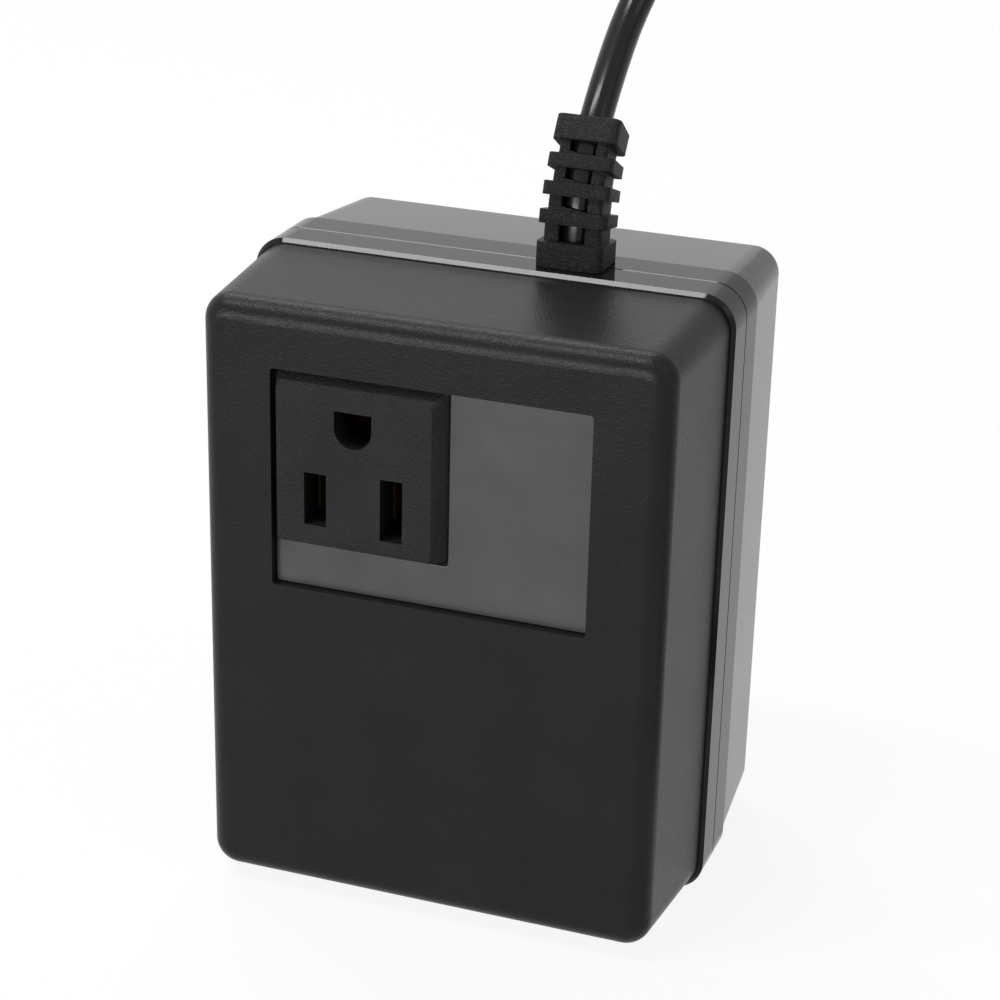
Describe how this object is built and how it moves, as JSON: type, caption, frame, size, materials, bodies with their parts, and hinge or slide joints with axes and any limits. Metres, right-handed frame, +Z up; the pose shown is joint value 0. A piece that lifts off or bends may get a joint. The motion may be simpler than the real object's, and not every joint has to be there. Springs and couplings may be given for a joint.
{
  "type": "travel voltage converter",
  "caption": "Step-down transformer in a two-shell plastic case, with a grounded outlet in a recess of the front and a mains cord with a plug out of the top.",
  "frame": {"origin": "on the surface the case stands on, under the middle of the case's outline", "axes": "+Z up, the outlet's face looks along -Y, +X to the right when the outlet is looked at"},
  "size_m": [0.27, 0.0684, 0.178],
  "materials": {
    "case_plastic": "fine matt grain",
    "label_plate": "satin",
    "socket_plastic": "satin",
    "cover_board": "matt pressed board",
    "contact_brass": "satin",
    "screw_steel": "zinc plated",
    "lamination_steel": "varnished",
    "bobbin_nylon": "natural nylon",
    "copper_winding": "enamelled",
    "winding_tape": "film tape",
    "tag_metal": "tinned",
    "fuse_metal": "satin",
    "core_insulation": "smooth",
    "lead_insulation": "smooth",
    "relief_rubber": "grained",
    "cord_sheath": "smooth",
    "plug_plastic": "satin",
    "bridge_plastic": "matt",
    "pin_metal": "nickel plated",
    "sleeve_plastic": "smooth"
  },
  "bodies": {
    "root": {"front_shell": "case_plastic", "rear_shell": "case_plastic", "label_plate": "label_plate", "socket_body": "socket_plastic", "socket_cover": "cover_board", "hot_contact": "contact_brass", "neutral_contact": "contact_brass", "ground_contact": "contact_brass", "socket_screws": "screw_steel", "core_e_laminations": "lamination_steel", "core_i_laminations": "lamination_steel", "bobbin": "bobbin_nylon", "primary_winding": "copper_winding", "secondary_winding": "copper_winding", "winding_tape": "winding_tape", "bobbin_tags": "tag_metal", "transformer_screws": "screw_steel", "transformer_washers": "screw_steel", "thermal_fuse": "fuse_metal", "cord_cores": "core_insulation", "secondary_leads": "lead_insulation", "case_screws": "screw_steel", "strain_relief": "relief_rubber", "cord": "cord_sheath", "cord_coil": "cord_sheath", "plug_body": "plug_plastic", "plug_bridge": "bridge_plastic", "plug_pins": "pin_metal", "plug_pin_sleeves": "sleeve_plastic"}
  },
  "joints": []
}
